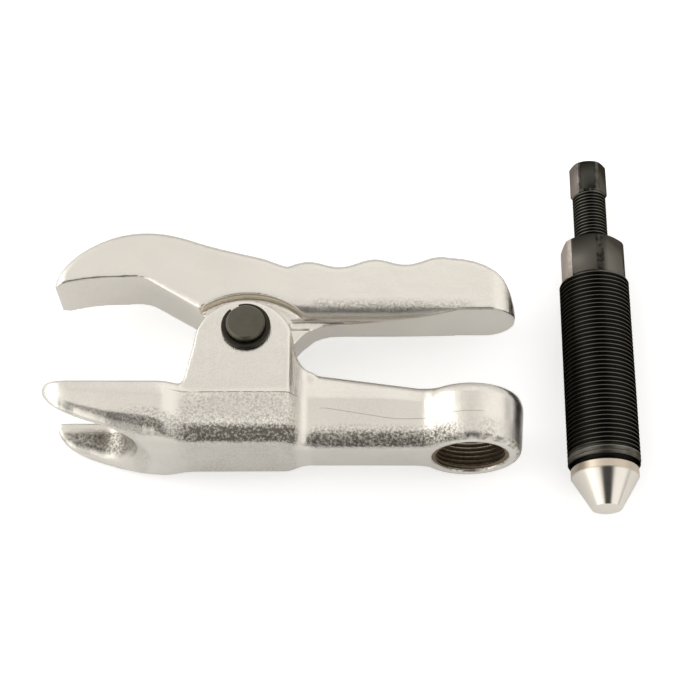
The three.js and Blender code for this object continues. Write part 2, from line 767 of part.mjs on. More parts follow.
function plunger() {
  const { low, high, floor } = plungerGroove();
  const seat = 1.1;
  return revolve([
    [0, plungerLow], [plungerRadius - 0.6, plungerLow], [plungerRadius, plungerLow + 0.6],
    [plungerRadius, low], [floor, low], [floor, high], [plungerRadius, high],
    [plungerRadius, plungerHigh - 0.4], [plungerRadius - 0.4, plungerHigh],
    [ballRadius - 0.4, plungerHigh], [ballRadius - 1.6, plungerHigh - seat], [0, plungerHigh - seat],
  ]);
}

function plungerSeal() {
  const { low, floor } = plungerGroove();
  const high = low + runningGap + sealSection;
  return ringSeal(floor + runningGap, plungerRadius, high, sealSection);
}

function plungerBackupRing() {
  const { high, floor } = plungerGroove();
  return collar(floor + runningGap, plungerRadius, high - runningGap - backupThickness, high - runningGap);
}

const ballCentre = plungerHigh - 1.1 + runningGap + ballRadius;

function thrustBall() {
  return closed(new THREE.SphereGeometry(ballRadius, 20, 10).translate(0, ballCentre, 0));
}

function feedScrew() {
  const dimpleEnd = ballCentre + ballRadius + runningGap;
  const shank = revolve([
    [0, dimpleEnd], [1.4, dimpleEnd], [ballRadius, screwInnerEnd], [screwRadius - 1.2, screwInnerEnd],
    [screwRadius, screwInnerEnd + 1.2], [screwRadius, screwHexLow + 1], [0, screwHexLow + 1],
  ]);
  const hexHigh = screwHexLow + screwHexLength;
  const hex = hexBar(screwHexAcrossFlats, screwHexCorner, screwHexLow, hexHigh, screwHexTurn);
  return join(shank, hex);
}

// Assembly

function piece(name, geometry, material) {
  const mesh = new THREE.Mesh(geometry, material);
  mesh.name = name;
  return mesh;
}

const separator = new THREE.Group();
separator.add(
  piece('lower_body', lowerBody(), nickelForging),
  piece('lever', lever(), nickelForging.clone()),
  piece('pivot_pin', crossPin(), blackOxide),
  piece('pivot_ring_front', snapRing(1), blackOxide.clone()),
  piece('pivot_ring_rear', snapRing(-1), blackOxide.clone()),
);
separator.position.z = pinLength / 2;

const spindle = new THREE.Group();
spindle.add(
  piece('spindle_body', barrel(), brownedSteel),
  piece('feed_screw', feedScrew(), brownedSteel.clone()),
  piece('thrust_ball', thrustBall(), groundSteel.clone()),
  piece('plunger', plunger(), turnedSteel),
  piece('plunger_seal', plungerSeal(), sealRubber),
  piece('plunger_backup_ring', plungerBackupRing(), sealPlastic),
  piece('ram', ramPress(), groundSteel),
  piece('ram_seal', ramSeal(), sealRubber.clone()),
  piece('ram_backup_ring', ramBackupRing(), sealPlastic.clone()),
  piece('ram_guide_ring', ramGuideRing(), sealPlastic.clone()),
  piece('ram_retaining_ring', ramRetainer(), blackOxide.clone()),
);
spindle.position.set(spindlePlace.x, spindlePlace.y, barrelRadius);
spindle.rotation.z = deg(spindleYaw);

const part = new THREE.Group();
part.add(separator, spindle);

// The origin is under the middle of the whole, on the surface that it lies on.
const box = new THREE.Box3().setFromObject(part);
const middle = box.getCenter(new THREE.Vector3());
part.position.set(-middle.x, -middle.y, -box.min.z);

export default part;
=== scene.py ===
# %% [markdown]
# # A ball joint separator
#
# The real tool is a pair of forged steel arms that pivot on a cross pin. A fork goes round the
# ball joint, a hooked jaw presses on its stud, and a hydraulic spindle in the round boss pushes
# the lever's tail up. Here the spindle lies beside the tool, as in the photograph.
#
# The solids come from the CAD frame. This lesson dresses them: forgings get soft edges, threads
# are cut, and each metal gets its own finish.

import math

import bpy
from mathutils import Matrix, Vector


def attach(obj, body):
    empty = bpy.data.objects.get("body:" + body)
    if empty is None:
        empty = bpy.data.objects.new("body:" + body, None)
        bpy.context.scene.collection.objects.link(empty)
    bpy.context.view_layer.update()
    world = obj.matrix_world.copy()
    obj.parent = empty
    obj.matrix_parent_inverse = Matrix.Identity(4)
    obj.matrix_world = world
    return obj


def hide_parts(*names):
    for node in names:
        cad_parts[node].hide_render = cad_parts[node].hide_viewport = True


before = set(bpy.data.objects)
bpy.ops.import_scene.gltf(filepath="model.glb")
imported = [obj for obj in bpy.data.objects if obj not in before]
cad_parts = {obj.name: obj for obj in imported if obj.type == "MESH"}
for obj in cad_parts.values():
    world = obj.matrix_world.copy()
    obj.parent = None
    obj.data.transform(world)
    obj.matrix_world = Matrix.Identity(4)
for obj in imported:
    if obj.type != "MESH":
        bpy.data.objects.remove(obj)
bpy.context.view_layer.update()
MM = 0.001
print("solids:", ", ".join(sorted(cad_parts)))

# %% [markdown]
# ## Camera
#
# The picture is taken from 63.5 degrees above the floor, from about 61 cm away, so the tool shows
# its upper side and still some of its front. The near side is slightly larger than the far side,
# which only a real distance and lens give, so the lens is not a guess: it follows from how the
# bore's ellipse and the taper of the spindle look.

# %% Camera
ELEVATION = math.radians(63.5)
DISTANCE = 606.3 * MM
LENS = 77.14
SENSOR = 36
TARGET = Vector((1.084, -8.626, 14.2)) * MM

towards_camera = Vector((0, -math.cos(ELEVATION), math.sin(ELEVATION)))
bpy.ops.object.camera_add(
    location=TARGET + towards_camera * DISTANCE,
    rotation=(math.radians(90) - ELEVATION, 0, 0),
)
camera = bpy.context.object
camera.data.lens = LENS
camera.data.sensor_width = SENSOR
bpy.context.scene.camera = camera
bpy.context.scene.view_settings.view_transform = "Standard"
print("camera at", [round(v, 3) for v in camera.location])

# %% [markdown]
# ## Sums with sockets
#
# A finish is a small calculation at each point of the surface: a mask here, a colour there. In
# the node editor that is a long row of Math nodes. A thin class round a socket lets the same
# nodes be written as a sum, such as `1 - mask`, and one method adds any other node.

# %% A socket that can be used in a sum
class Wire:
    """One socket of a node tree, or the tree alone when a first node is to be made."""

    def __init__(self, tree, socket=None):
        self.tree = tree
        self.socket = socket

    def node(self, kind, settings=None, inputs=None, out=0):
        made = self.tree.nodes.new("ShaderNode" + kind)
        for name, value in (settings or {}).items():
            setattr(made, name, value)
        for key, value in (inputs or {}).items():
            if isinstance(value, Wire):
                self.tree.links.new(value.socket, made.inputs[key])
            else:
                made.inputs[key].default_value = value
        return Wire(self.tree, made.outputs[out])

    def math(self, operation, *values):
        return self.node("Math", {"operation": operation}, dict(enumerate(values)))

    def __add__(self, other):
        return self.math("ADD", self, other)

    def __sub__(self, other):
        return self.math("SUBTRACT", self, other)

    def __rsub__(self, other):
        return self.math("SUBTRACT", other, self)

    def __mul__(self, other):
        return self.math("MULTIPLY", self, other)

    def __truediv__(self, other):
        return self.math("DIVIDE", self, other)

    __radd__ = __add__
    __rmul__ = __mul__


# %% Helpers for masks, noise and colours
def step(value, low, high):
    """0 below low, 1 above high, with a soft ramp between; also falls if high is below low."""
    settings = {"interpolation_type": "SMOOTHSTEP"}
    if low < high:
        return value.node("MapRange", settings, {0: value, 1: low, 2: high})
    return 1 - value.node("MapRange", settings, {0: value, 1: high, 2: low})


def blend(factor, first, second):
    """One colour where factor is 0, another where it is 1."""
    return factor.node("Mix", {"data_type": "RGBA"}, {0: factor, 6: first, 7: second}, out=2)


def noise(place, scale, detail, roughness=0.5):
    inputs = {"Vector": place, "Scale": scale, "Detail": detail, "Roughness": roughness}
    return place.node("TexNoise", {}, inputs)


def parts_of(place):
    """The three numbers of a place, each as a wire."""
    return [place.node("SeparateXYZ", {}, {0: place}, out=k) for k in range(3)]


def hue(red, green, blue):
    return (red, green, blue, 1.0)


def finish(name, paint):
    """A material whose shader sockets are filled by paint(place), which returns a table."""
    material = bpy.data.materials.new(name)
    material.use_nodes = True
    tree = material.node_tree
    shader = tree.nodes["Principled BSDF"]
    place = Wire(tree).node("TexCoord", out=3)
    for socket, value in paint(place).items():
        if isinstance(value, Wire):
            tree.links.new(value.socket, shader.inputs[socket])
        else:
            shader.inputs[socket].default_value = value
    print("finish:", name, len(tree.nodes), "nodes")
    return material


def bump(height, strength, depth):
    inputs = {"Height": height, "Strength": strength, "Distance": depth}
    return height.node("Bump", {}, inputs)


# %% [markdown]
# ## Studio
#
# Bare metal has hardly any colour of its own: it shows its surroundings. So the room matters more
# than the paint. The room is white nearly all round, brighter at both sides and most of all on
# the left. A dark zone reaches from just past overhead down to the front, as a dark wall behind a
# camera gives, and it is less dark low down. The low back and the low right are a little duller.
# The sky is that room, painted by direction. The floor is white to the camera and keeps a faint
# shadow. Far in front it is dark, but only where metal mirrors it.

# %% The room, painted by direction
def sky():
    world = bpy.data.worlds.new("room")
    world.use_nodes = True
    bpy.context.scene.world = world
    tree = world.node_tree
    direction = Wire(tree).node("TexCoord", out=0)
    x, y, z = parts_of(direction)
    across = x.math("ABSOLUTE", x)
    dark_side = step(y, -0.12, -0.32) * step(across, 0.44, 0.20)
    low_back = step(y, 0.50, 0.80) * step(z, 0.55, 0.30)
    far_right = step(x, 0.86, 0.95) * step(z, 0.35, 0.15)
    windows = step(across, 0.20, 0.54) * step(z, 0.05, 0.30) * (1 - 0.30 * step(x, 0.2, 0.5))
    room = 0.83 + 0.47 * windows + 0.45 * step(x, -0.50, -0.75)
    dark_side = dark_side * (0.93 - 0.40 * step(z, 0.55, 0.35))
    room = (room + 0.07 * step(z, 0.90, 0.96)) * (1 - dark_side)
    room = room * (1 - 0.22 * low_back) * (1 - 0.32 * far_right)
    seen = Wire(tree).node("LightPath", out=0)
    strength = room * (1 - seen) + seen
    background = tree.nodes["Background"]
    background.inputs["Color"].default_value = hue(1, 0.985, 0.955)
    tree.links.new(strength.socket, background.inputs["Strength"])
    backdrop = Wire(tree).node("Background", {}, {"Color": hue(1, 1, 1), "Strength": 1.0})
    shown = Wire(tree).node(
        "MixShader", {}, {0: seen, 1: Wire(tree, background.outputs[0]), 2: backdrop}
    )
    tree.links.new(shown.socket, tree.nodes["World Output"].inputs["Surface"])
    print("room:", world.name, len(tree.nodes), "nodes")


sky()

# %% The floor
bpy.ops.mesh.primitive_plane_add(size=6, location=(0, 0, 0))
floor = bpy.context.object
floor.name = "floor"


def paint_floor():
    material = bpy.data.materials.new("floor_white")
    material.use_nodes = True
    tree = material.node_tree
    tree.nodes.remove(tree.nodes["Principled BSDF"])
    wire = Wire(tree)
    to_camera = wire.node("LightPath", out=0)
    to_mirror = wire.node("LightPath", out=3)
    y = parts_of(wire.node("TexCoord", out=3))[1]
    glow = wire.node("Emission", {}, {"Strength": to_camera * 0.55 + to_mirror * 0.20})
    paper = wire.node("BsdfDiffuse", {}, {"Color": hue(0.72, 0.72, 0.72)})
    lit = wire.node("AddShader", {}, {0: glow, 1: paper})
    dark = wire.node("BsdfDiffuse", {}, {"Color": hue(0.10, 0.095, 0.09)})
    in_front = step(y, -0.50, -0.80) * to_mirror
    both = wire.node("MixShader", {}, {0: in_front, 1: lit, 2: dark})
    tree.links.new(both.socket, tree.nodes["Material Output"].inputs["Surface"])
    return material


floor.data.materials.append(paint_floor())
print("floor:", [round(side, 2) for side in floor.dimensions], "m")


# %% Two soft lamps
def soft_box(name, place, size, power):
    bpy.ops.object.light_add(type="AREA", location=place)
    lamp = bpy.context.object
    lamp.name = name
    lamp.data.size = size
    lamp.data.energy = power
    lamp.rotation_euler = (TARGET - Vector(place)).to_track_quat("-Z", "Y").to_euler()


soft_box("window_left", (-0.9, 0.35, 0.7), 0.6, 1.2)
soft_box("window_back", (0.1, 0.8, 0.9), 0.7, 0.4)

# %% [markdown]
# ## From solid to forging
#
# A forging has no sharp edge: the steel was pressed hot into a die, then blasted and plated. A
# bevel on each edge would be hard to steer where a fork, ears and a boss run into each other. So
# a copy of the solid is rebuilt from small cubes, as if it were cast in fine sand, and smoothed a
# little, which rounds every edge and hollow by the same amount.

# %% Helpers for picking and copying
def only(piece):
    """Select this object and nothing else."""
    bpy.ops.object.select_all(action="DESELECT")
    piece.select_set(True)
    bpy.context.view_layer.objects.active = piece


def edit(piece, select="SELECT"):
    """Edit this object's mesh, with all of it selected or none."""
    only(piece)
    bpy.ops.object.mode_set(mode="EDIT")
    bpy.ops.mesh.select_all(action=select)


def done():
    bpy.ops.object.mode_set(mode="OBJECT")


def apply(piece, kind, **settings):
    only(piece)
    modifier = piece.modifiers.new(kind.title(), kind)
    for name, value in settings.items():
        setattr(modifier, name, value)
    bpy.ops.object.modifier_apply(modifier=modifier.name)


def copy_of(node, name):
    """A free copy of a solid, its loose triangles merged."""
    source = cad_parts[node]
    piece = source.copy()
    piece.data = source.data.copy()
    piece.name = name
    piece.parent = None
    piece.matrix_world = Matrix.Identity(4)
    bpy.context.collection.objects.link(piece)
    edit(piece)
    bpy.ops.mesh.remove_doubles(threshold=0.002 * MM)
    done()
    return piece


def dressed(piece, body, node, material):
    """Put a piece on its body with its finish, in place of a solid."""
    piece.data.materials.clear()
    piece.data.materials.append(material)
    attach(piece, body)
    if node:
        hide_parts(node)
    piece.data.calc_loop_triangles()
    print(piece.name, len(piece.data.loop_triangles), "triangles")


def forged(node, name, grain, passes):
    piece = copy_of(node, name)
    apply(piece, "REMESH", mode="VOXEL", voxel_size=grain, use_smooth_shade=True)
    apply(piece, "SMOOTH", factor=0.5, iterations=passes)
    return piece


# %% [markdown]
# ## The forgings' finish
#
# Both arms are plated a warm, light satin grey over a blasted forging. The plating is metal, so
# its colour is its reflection. The forging shows as bumps of three sizes: slow waves from the
# die, hammered marks, and a fine grain from blasting. Where the steel was beaten hardest, dirt
# stays in the marks and dulls them, so there the same pattern drives the bump and the colour.
# Painted shade along the lower edges uses the same dark colour, in the same mottled pattern.

# %% Places of the tool, in the row's frame
PIN = Vector((-38.980, -13.728, 24.5)) * MM
BOSS_X = PIN.x + 86.1 * MM
BOSS_TOP = PIN.y - 22.8 * MM
UNDERSIDE = PIN.y - 46.2 * MM
PARTING = PIN.y - 27.4 * MM
EAR_LEFT = PIN.x - 25.6 * MM
EAR_RIGHT = PIN.x + 19.6 * MM
TIP = -115 * MM
NOSE_END = -107 * MM
SLOT_END = -85 * MM
NECK = -73 * MM
BLOCK_LEFT = -64 * MM
SHOULDER_LEFT = -20.5 * MM
SHOULDER_RIGHT = -12.5 * MM
ARM_END = 34 * MM
print("fork's slot ends at", round(SLOT_END / MM, 1), "mm, boss at", round(BOSS_X / MM, 1), "mm")


# %% Plating over blasted steel
PLATE = hue(0.775, 0.74, 0.68)
STAINED_PLATE = hue(0.665, 0.63, 0.575)
# Dirt in the hammered dents and painted shade both darken towards this colour.
DIRT_AND_SHADE = hue(0.13, 0.12, 0.10)
BARE_SEAM = hue(0.24, 0.19, 0.14)
SKIN_DEPTH = 0.4 * MM


def plated(place, rough, seam, relief, shade):
    """rough is how beaten the steel is, seam is a mask, shade is a mask of painted shade, relief is a
    height in metres.
    """
    waves = noise(place, 110, 2)
    hammered = noise(place, 980, 4, 0.76)
    grain = noise(place, 2600, 2, 0.6)
    skin = waves * 0.5 + hammered * rough * 0.55 + grain * (0.05 + rough * 0.12) - seam * 0.12
    stain = step(noise(place, 38, 3), 0.35, 0.75)
    mottled = 0.3 * stain + 0.1 + 2.0 * (grain - 0.5) + (0.55 + 0.5 * rough) * (hammered - 0.5)
    dents = 0.50 * step(hammered, 0.60, 0.36) * step(rough, 0.35, 1.1)
    # Painted shade, mottled by the hammer marks, and the dirt in dents darken the plating.
    dirt_and_shade = shade * (0.50 + 0.72 * step(hammered, 0.62, 0.38)) + dents
    plating = blend(dirt_and_shade, blend(mottled, PLATE, STAINED_PLATE), DIRT_AND_SHADE)
    return {
        "Base Color": blend(seam, plating, BARE_SEAM),
        "Metallic": 1.0,
        "Roughness": 0.19 + 0.01 * rough + 0.04 * (grain - 0.5) + 0.25 * seam,
        "Normal": bump(skin * SKIN_DEPTH + relief, 1.0, 1.0),
    }


# %% [markdown]
# ## Lines that follow the forging
#
# The long lower edge of fork, block and arm turns under in a soft round. It mirrors the room's
# dark zone, and the colour there is darkened as well, a mottled painted shade, so the eye sees a
# dark band there: a thin line at the fork's tip that widens towards the block. A line like this
# is a height that changes along the tool, so it is written as heights at a few places, with
# straight runs between them.

# %% Helpers for such lines
def distance(value, centre):
    offset = value - centre
    return offset.math("ABSOLUTE", offset)


def root(value):
    return value.math("SQRT", value)


def wave(value):
    return value.math("SINE", value)


def along_x(x, *stops):
    """A value that runs from stop to stop along X and stays as it is outside them."""
    total = x * 0 + stops[0][1]
    for (start, before), (end, after) in zip(stops, stops[1:]):
        total = total + x.node("MapRange", {}, {0: x, 1: start, 2: end, 3: 0.0, 4: after - before})
    return total


# %% The fork: where its edge turns under, and painted shade on its fold and inner wall
def edge_height(x):
    """The height at which the lower edge starts to turn under."""
    return along_x(
        x, (NOSE_END, -45.6 * MM), (-102 * MM, -47.5 * MM), (-90 * MM, -50.4 * MM),
        (NECK, -52.4 * MM), (BLOCK_LEFT, -56.0 * MM),
    )


def edge_relief(x, y, below):
    """A little draft under the parting line, and a lean of the tines below their edge."""
    draft = PARTING - y
    draft = draft.math("MAXIMUM", draft, 0.0)
    lean = along_x(x, (-110 * MM, 0.0), (-102 * MM, 0.42), (-76 * MM, 0.36), (BLOCK_LEFT, 0.0))
    return draft * -0.03 - lean * 0.5 * (below + root(below * below + MM * MM))


def between_tines(x, off_middle):
    """The slot of the fork, with its inner walls."""
    between = step(off_middle, 19.6 * MM, 19.0 * MM)
    between = between * step(x, SLOT_END + 3 * MM, SLOT_END - 3 * MM)
    return between * step(x, TIP, TIP + 3.5 * MM)


def tine_fold_shade(x, below):
    """The dark line of painted shade along a tine, thin at its tip."""
    width = along_x(
        x, (-106 * MM, 0.3 * MM), (-102 * MM, 1.3 * MM), (-90 * MM, 2.5 * MM), (NECK, 4.2 * MM)
    )
    fold = step(below, -0.5 * MM, 0.6 * MM) * step(below - width, 0.7 * MM, -0.5 * MM)
    return fold * step(x, NOSE_END, NOSE_END + 3 * MM) * step(x, -66 * MM, -71 * MM)


def wall_shade(x, y):
    """Painted shade on a tine's inner wall, where the other tine hides the light."""
    lower = along_x(x, (-110 * MM, -45.4 * MM), (-101 * MM, -48.6 * MM), (-90 * MM, -52.0 * MM))
    return step(y, -41.0 * MM, -42.9 * MM) * step(y - lower, -1.4 * MM, 1.4 * MM)


# %% Block, arm and boss: painted shade in the band and on the rim
def lower_band_shade(x, below, shoulder):
    """The painted dark band along block and arm, which opens at the shoulder between them."""
    band = step(below, -3.2 * MM, -0.4 * MM) * step(below, 4.2 * MM, 3.0 * MM)
    band = band * step(x, BLOCK_LEFT - 3 * MM, BLOCK_LEFT + 7 * MM)
    return band * step(x, ARM_END + 10 * MM, ARM_END) * (1 - 0.85 * shoulder)


def boss_rim_shade(place, x, y):
    """A broken line of painted shade just above the boss's lower face."""
    height = y - UNDERSIDE
    rim = step(height, 2.4 * MM, 1.4 * MM) * step(height, 0.1 * MM, 0.4 * MM)
    return rim * step(x, ARM_END, ARM_END + 8 * MM) * step(noise(place, 420, 3), 0.35, 0.60)


# %% [markdown]
# ## Seams and machined faces
#
# Where the two dies met, a thin seam of trimmed flash is left. It comes and goes: it runs under
# the ears, and as a fainter line that falls along the arm. The ears were milled after forging, so
# above the seam the sides are smoother and keep only fine marks of the cutter.

# %% The seams
def broken(place, scale):
    """Where a thin line shows: it comes and goes along its length."""
    return step(noise(place, scale, 2), 0.36, 0.48)


def seams(place, x, y, block, off_middle):
    """The line under the ears, and the line along the arm."""
    outside = step(off_middle, 13.2 * MM, 13.5 * MM)
    line = step(distance(y, PARTING), 0.22 * MM, 0.05 * MM) * block * outside
    arm_height = along_x(x, (-8 * MM, -44.9 * MM), (18 * MM, -49.2 * MM))
    arm = step(x, -12 * MM, -8 * MM) * step(x, 52 * MM, 50 * MM)
    arm_line = step(distance(y, arm_height), 0.16 * MM, 0.04 * MM) * arm * broken(place, 130)
    return line * broken(place, 300) + arm_line * 0.6


# %% How beaten the lower body is
def above_parting(y):
    return step(y, PARTING - 0.2 * MM, PARTING)


def beaten_steel(place, x, y, below, block, shoulder, inside):
    """Beaten on the block and along the lower edge, smoother between the tines and underneath."""
    boss = step(x, ARM_END - 4 * MM, ARM_END + 10 * MM)
    under = step(y, -58.6 * MM, -59.6 * MM)
    by_edge = step(below, -7 * MM, -2 * MM) * step(x, -100 * MM, -66 * MM) * (1 - 0.7 * shoulder)
    beaten = (by_edge + 0.7 * block * (1 - above_parting(y))) * (1 - 0.5 * boss)
    patch = step(noise(place, 70, 2), 0.40, 0.62)
    hammered = 0.9 * beaten * (1 - inside) * (1 - 0.75 * under)
    return 0.16 + (0.14 + 0.20 * boss) * patch + hammered


def with_milled_sides(place, x, y, off_middle, rough):
    """Above the parting line the outer sides keep only the fine, upright marks of a cutter."""
    milled = above_parting(y) * step(off_middle, 16 * MM, 17 * MM)
    milled = milled * step(x, EAR_LEFT - 1 * MM, EAR_LEFT)
    stretched = place.node("VectorMath", {"operation": "MULTIPLY"}, {0: place, 1: (1, 0.05, 1)})
    striae = noise(stretched, 2400, 1)
    return rough * (1 - milled) + milled * (0.05 + 0.50 * striae)


# %% The finishes of both forgings
def paint_body(place):
    """Beaten block and lower edge, milled sides, seams, and painted shade along the edge."""
    x, y, z = parts_of(place)
    off_middle = distance(z, PIN.z)
    below = edge_height(x) - y
    block = step(x, EAR_LEFT - 4 * MM, EAR_LEFT + 4 * MM)
    block = block * step(x, EAR_RIGHT + 2 * MM, EAR_RIGHT - 2 * MM)
    shoulder = step(x, SHOULDER_LEFT, SHOULDER_LEFT + 2.5 * MM)
    shoulder = shoulder * step(x, SHOULDER_RIGHT, SHOULDER_RIGHT - 2.5 * MM)
    inside = between_tines(x, off_middle)
    # Painted shade: the band and rim along the lower edge, the tines' fold, and their inner walls.
    shade = (0.64 + 0.34 * block) * lower_band_shade(x, below, shoulder) + 0.65 * boss_rim_shade(place, x, y)
    shade = shade + 0.50 * tine_fold_shade(x, below) * (1 - inside) + 0.78 * inside * wall_shade(x, y)
    rough = beaten_steel(place, x, y, below, block, shoulder, inside)
    rough = with_milled_sides(place, x, y, off_middle, rough)
    seam = seams(place, x, y, block, off_middle)
    return plated(place, rough, seam, edge_relief(x, y, below), shade)


def paint_lever(place):
    """Blasted all over, and more beaten along the belly, the lower edge of its front face."""
    x, y, z = parts_of(place)
    off_middle = distance(z, PIN.z)
    belly = step(y, 4.5 * MM, 0.5 * MM) * step(y, -4.4 * MM, -3.2 * MM) * step(x, -16 * MM, -10 * MM)
    belly = belly * step(off_middle, 10.2 * MM, 11.4 * MM) * step(x, 54 * MM, 44 * MM)
    blasted = step(noise(place, 45, 2), 0.35, 0.65)
    rough = 0.36 + 0.16 * blasted + 0.42 * belly
    none = x * 0
    # A little painted shade along the belly.
    return plated(place, rough, seam=none, relief=none, shade=0.08 * belly)


body_plating = finish("forged_plated_body", paint_body)
lever_plating = finish("forged_plated_lever", paint_lever)

# %% Body and lever
body = forged("lower_body", "body_forging", grain=0.72 * MM, passes=5)
lever = forged("lever", "lever_forging", grain=0.58 * MM, passes=5)
dressed(body, "frame", "lower_body", body_plating)
dressed(lever, "rocker", "lever", lever_plating)

# %% [markdown]
# ## Threads
#
# A thread is a V-shaped groove that runs round like a spring. The groove's section, a small
# trapezium, is screwed round the axis to make a cutter, and the cutter is taken out of the
# turned bar, as a die does on the real spindle. Outer threads are cut; in the bore the same
# section stands as a ridge on the wall.

# %% A coil with the section of a thread
FLANK = math.radians(29)
BLUNT = 0.08
SHARP = math.radians(32)


def coil(name, wide, narrow, pitch, low, high, steps):
    """A ridge round Z: its section has its foot at radius wide and its blunt tip at narrow."""
    depth = abs(wide - narrow)
    tip = pitch * BLUNT
    foot = tip + depth * math.tan(FLANK)
    bpy.ops.mesh.primitive_plane_add(size=1, location=(0, 0, 0), rotation=(math.radians(90), 0, 0))
    piece = bpy.context.object
    piece.name = name
    bpy.ops.object.transform_apply()
    for vertex in piece.data.vertices:
        outer = vertex.co.x > 0
        radius = max(wide, narrow) if outer else min(wide, narrow)
        half = foot if radius == wide else tip
        vertex.co = Vector((radius, 0, low + math.copysign(half, vertex.co.z)))
    edit(piece)
    bpy.ops.mesh.delete(type="ONLY_FACE")
    done()
    turns = math.ceil((high - low) / pitch)
    apply(
        piece, "SCREW", axis="Z", screw_offset=pitch, iterations=turns, steps=steps,
        render_steps=steps, use_merge_vertices=False, use_smooth_shade=False,
    )
    edit(piece, "DESELECT")
    bpy.ops.mesh.select_mode(type="EDGE")
    bpy.ops.mesh.select_non_manifold()
    bpy.ops.mesh.edge_face_add()
    bpy.ops.mesh.select_all(action="SELECT")
    bpy.ops.mesh.normals_make_consistent(inside=False)
    done()
    return piece


def place_at(piece, matrix):
    piece.matrix_world = matrix
    only(piece)
    bpy.ops.object.transform_apply()


def cut(piece, tool, how="DIFFERENCE"):
    apply(piece, "BOOLEAN", object=tool, operation=how, solver="EXACT")
    bpy.data.objects.remove(tool)


def crisp(piece):
    """Smooth shading, but sharp edges stay edges."""
    only(piece)
    bpy.ops.object.shade_smooth_by_angle(angle=SHARP)


# %% The spindle's place, and its two threads
MOUTH = Vector((100.120, -60.428, 14.2)) * MM
BARREL_HEX = 81.2 * MM
SCREW_HEX = 124.2 * MM
BARREL_PITCH = 1.814 * MM
SCREW_PITCH = 1.5 * MM
AXIS = Vector((0.020942, 0.999781, 0))
SPINDLE = Matrix.Translation(MOUTH) @ AXIS.to_track_quat("Z", "X").to_matrix().to_4x4()

barrel = copy_of("spindle_body", "spindle_barrel")
tool = coil(
    "barrel_die", wide=14.42 * MM, narrow=13.05 * MM, pitch=BARREL_PITCH,
    low=-2 * MM, high=80.6 * MM, steps=72,
)
place_at(tool, SPINDLE)
cut(barrel, tool)

screw = copy_of("feed_screw", "feed_spindle")
tool = coil(
    "screw_die", wide=7.1 * MM, narrow=6.05 * MM, pitch=SCREW_PITCH,
    low=70 * MM, high=123.1 * MM, steps=48,
)
place_at(tool, SPINDLE)
cut(screw, tool)
crisp(barrel)
crisp(screw)
print("threads:", len(barrel.data.polygons), "and", len(screw.data.polygons), "faces")


# %% The boss's thread
def bore_thread():
    ridge = coil(
        "boss_thread", wide=14.72 * MM, narrow=13.42 * MM, pitch=BARREL_PITCH,
        low=-2 * MM, high=25 * MM, steps=72,
    )
    upright = Matrix.Rotation(math.radians(-90), 4, "X")
    place_at(ridge, Matrix.Translation((BOSS_X, UNDERSIDE, PIN.z)) @ upright)
    height = BOSS_TOP - UNDERSIDE
    bpy.ops.mesh.primitive_cylinder_add(
        vertices=72, radius=14.8 * MM, depth=height - 1.6 * MM,
        location=(BOSS_X, (BOSS_TOP + UNDERSIDE) / 2, PIN.z), rotation=(math.radians(90), 0, 0),
    )
    cut(ridge, bpy.context.object, "INTERSECT")
    crisp(ridge)
    return ridge


boss_thread = bore_thread()

# %% [markdown]
# ## Blackened steel
#
# The spindle is browned: a thin black oxide, nearly as smooth as the steel under it. Where hands
# and spanners rub, it is lighter, so the thread's crests and the hexagons' flats are greyer than
# the flanks. On top of that the crests carry a painted highlight, dimmer on the left, the
# hexagons a painted sheen on their left strip and right flats, and a painted glint shows near the
# mouth. Places are told along the spindle's axis and across it, because the spindle lies a little
# askew.


# %% Finishes of the spindle
def across_spindle(place):
    """How far a place lies to the right of the spindle's axis, seen from above."""
    from_mouth = place.node("VectorMath", {"operation": "SUBTRACT"}, {0: place, 1: MOUTH[:]})
    side = (AXIS.y, -AXIS.x, 0)
    return place.node("VectorMath", {"operation": "DOT_PRODUCT"}, {0: from_mouth, 1: side}, out=1)


def along_and_out(place):
    """How far a place lies along the spindle, and how far from its axis."""
    from_mouth = place.node("VectorMath", {"operation": "SUBTRACT"}, {0: place, 1: MOUTH[:]})
    along = place.node(
        "VectorMath", {"operation": "DOT_PRODUCT"}, {0: from_mouth, 1: AXIS[:]}, out=1
    )
    length = place.node("VectorMath", {"operation": "LENGTH"}, {0: from_mouth}, out=1)
    return along, root(length * length - along * along)


def browned(place, wear_and_highlight, bare_and_sheen):
    """Black oxide; rubbing and a painted highlight lighten it, and bare steel and a painted sheen
    make it paler.
    """
    light = blend(bare_and_sheen, hue(0.24, 0.225, 0.195), hue(0.60, 0.53, 0.48))
    grain = noise(place, 700, 3, 0.6)
    cloud = noise(place, 60, 2)
    dark = blend(cloud, hue(0.005, 0.005, 0.004), hue(0.011, 0.010, 0.008))
    return {
        "Base Color": blend(wear_and_highlight, dark, light),
        "Metallic": 1.0,
        "Specular Tint": hue(0.30, 0.29, 0.27),
        "Roughness": 0.34 + 0.10 * (grain - 0.5) + 0.16 * bare_and_sheen,
        "Normal": bump(grain, 0.25, 0.08 * MM),
    }


def hexagon(place, along, start, out, corner_radius):
    """The milled flats are greyer than the thread, and the right flats get a painted sheen; the
    corners are darker.
    """
    flats = step(along, start - 0.2 * MM, start)
    corner = step(out, corner_radius - 0.25 * MM, corner_radius - 0.08 * MM)
    cloud = noise(place, 110, 3)
    worn = step(noise(place, 420, 3), 0.42, 0.60)
    # A painted sheen on the flats right of the axis.
    right = step(across_spindle(place), 0.18 * corner_radius, 0.36 * corner_radius)
    return flats * (0.24 + 0.10 * cloud + 0.30 * right - (0.04 + 0.16 * worn) * corner)


